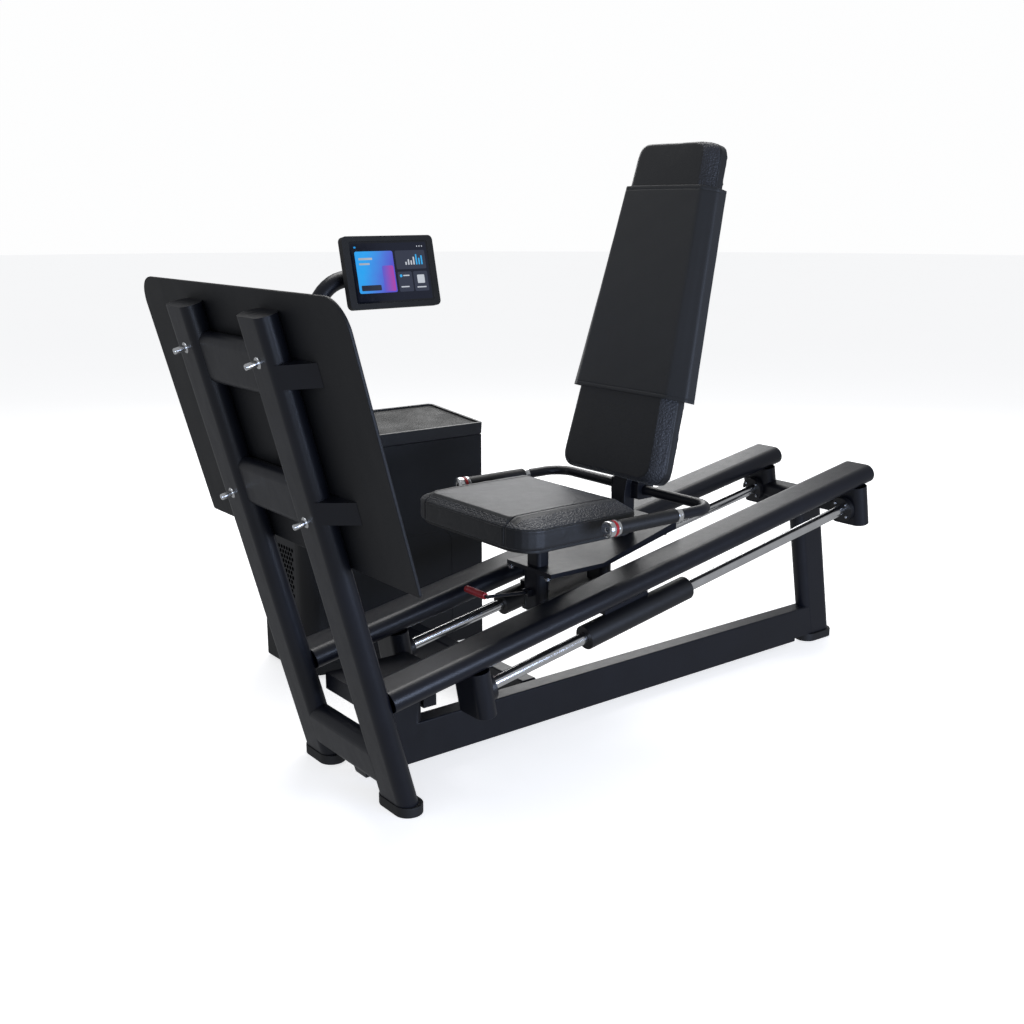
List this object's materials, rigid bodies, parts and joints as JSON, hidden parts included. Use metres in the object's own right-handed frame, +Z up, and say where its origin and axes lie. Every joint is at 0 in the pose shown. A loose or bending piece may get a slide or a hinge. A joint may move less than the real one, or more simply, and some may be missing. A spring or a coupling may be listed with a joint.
{
  "type": "leg press machine",
  "caption": "Seated leg press: leaning footplate frame, inclined rails with a sliding seat carriage and side handles, and a linked drive cabinet with a swivelling display.",
  "frame": {"origin": "centre of the bounding box, on the floor", "axes": "+X from the footplate towards the rear of the rails, +Y towards the drive cabinet, +Z up"},
  "size_m": [2.155, 1.446, 1.5646],
  "materials": {
    "frame_paint": "satin black powder coat",
    "plate_paint": "fine-textured matt black powder coat",
    "cabinet_paint": "satin black sheet steel",
    "vent_paint": "matt black perforated sheet",
    "flange_paint": "semi-gloss black",
    "sleeve_plastic": "moulded bearing housing",
    "foot_rubber": "moulded foot",
    "shaft_chrome": "polished chrome",
    "cable_steel": "coated steel rope",
    "pulley_plastic": "nylon",
    "tray_plastic": "satin moulding",
    "mat_rubber": "woven-pattern rubber mat",
    "housing_plastic": "fine matt moulding",
    "screen_glass": "black glass over a lit panel",
    "vinyl": "soft matt vinyl with a fine grain",
    "grip_rubber": "soft grip",
    "lever_red": "red ribbed grip"
  },
  "bodies": {
    "base": {"upright_left": "frame_paint", "upright_right": "frame_paint", "crossmember_upper": "frame_paint", "crossmember_middle": "frame_paint", "crossmember_lower": "frame_paint", "rail_left": "frame_paint", "rail_right": "frame_paint", "hanger_front_left": "frame_paint", "hanger_front_right": "frame_paint", "hanger_rear_left": "frame_paint", "hanger_rear_right": "frame_paint", "rear_cross_tube": "frame_paint", "rear_post": "frame_paint", "base_beam": "frame_paint", "platform_plate": "frame_paint", "outrigger_beam": "frame_paint", "pulley_bracket": "frame_paint", "idler_bracket": "frame_paint", "arm_socket": "frame_paint", "footplate": "plate_paint", "cabinet_shell": "cabinet_paint", "vent_grille": "vent_paint", "shaft_flange_front_left": "flange_paint", "shaft_flange_front_right": "flange_paint", "shaft_flange_rear_left": "flange_paint", "shaft_flange_rear_right": "flange_paint", "front_foot_left": "foot_rubber", "front_foot_right": "foot_rubber", "rear_foot": "foot_rubber", "cabinet_base": "foot_rubber", "guide_shaft_left": "shaft_chrome", "guide_shaft_right": "shaft_chrome", "press_cable": "cable_steel", "cabinet_tray": "tray_plastic", "tray_mat": "mat_rubber"},
    "carriage": {"carriage_sleeve_left": "sleeve_plastic", "carriage_sleeve_right": "sleeve_plastic", "carriage_frame": "frame_paint", "seat_post": "frame_paint", "seat_pan": "housing_plastic", "seat_cushion": "vinyl", "back_column": "frame_paint", "back_board": "frame_paint", "back_cushion": "vinyl", "back_cover": "vinyl", "handlebar": "frame_paint", "grip_left": "grip_rubber", "grip_right": "grip_rubber", "handle_cap_left": "shaft_chrome", "handle_cap_right": "shaft_chrome"},
    "release_lever": {"lever_rod": "frame_paint", "lever_grip": "lever_red"},
    "front_pulley": {"front_pulley": "pulley_plastic"},
    "idler_pulley": {"idler_pulley": "pulley_plastic"},
    "arm": {"display_arm": "frame_paint"},
    "display": {"display_housing": "housing_plastic", "display_screen": "screen_glass"},
    "switch": {"power_switch": "housing_plastic"}
  },
  "joints": [
    {"name": "carriage_slide", "type": "slide", "parent": "base", "child": "carriage", "axis": [0.984, 0, 0.1779], "range_m": [-0.15, 0.62], "deforming": ["press_cable"]},
    {"name": "lever_pivot", "type": "hinge", "parent": "carriage", "child": "release_lever", "pos_m": [-0.20846, -0.235, 0.389], "axis": [0, 1, 0], "range_deg": [0, 18], "stiffness_Nm_per_rad": 2, "springref_deg": -28.65},
    {"name": "front_pulley_spin", "type": "hinge", "parent": "base", "child": "front_pulley", "pos_m": [-0.70246, -0.235, 0.176], "axis": [0, 1, 0], "continuous": true},
    {"name": "idler_spin", "type": "hinge", "parent": "base", "child": "idler_pulley", "pos_m": [-0.53746, -0.235, 0.21469], "axis": [0, 1, 0], "continuous": true},
    {"name": "arm_swivel", "type": "hinge", "parent": "base", "child": "arm", "pos_m": [-0.38146, 0.575, 0.8], "axis": [0, 0, 1], "range_deg": [-20, 20]},
    {"name": "display_tilt", "type": "hinge", "parent": "arm", "child": "display", "pos_m": [-0.13905, 0.59195, 1.184], "axis": [0.9976, 0.0698, 0], "range_deg": [-15, 15]},
    {"name": "switch_rock", "type": "hinge", "parent": "base", "child": "switch", "pos_m": [0.11854, 0.525, 0.12], "axis": [0, 1, 0], "range_deg": [0, 14]}
  ],
  "couplings": [
    {"joint": "front_pulley_spin", "follows": "carriage_slide", "rad_per_m": 29.6},
    {"joint": "idler_spin", "follows": "carriage_slide", "rad_per_m": 40}
  ]
}
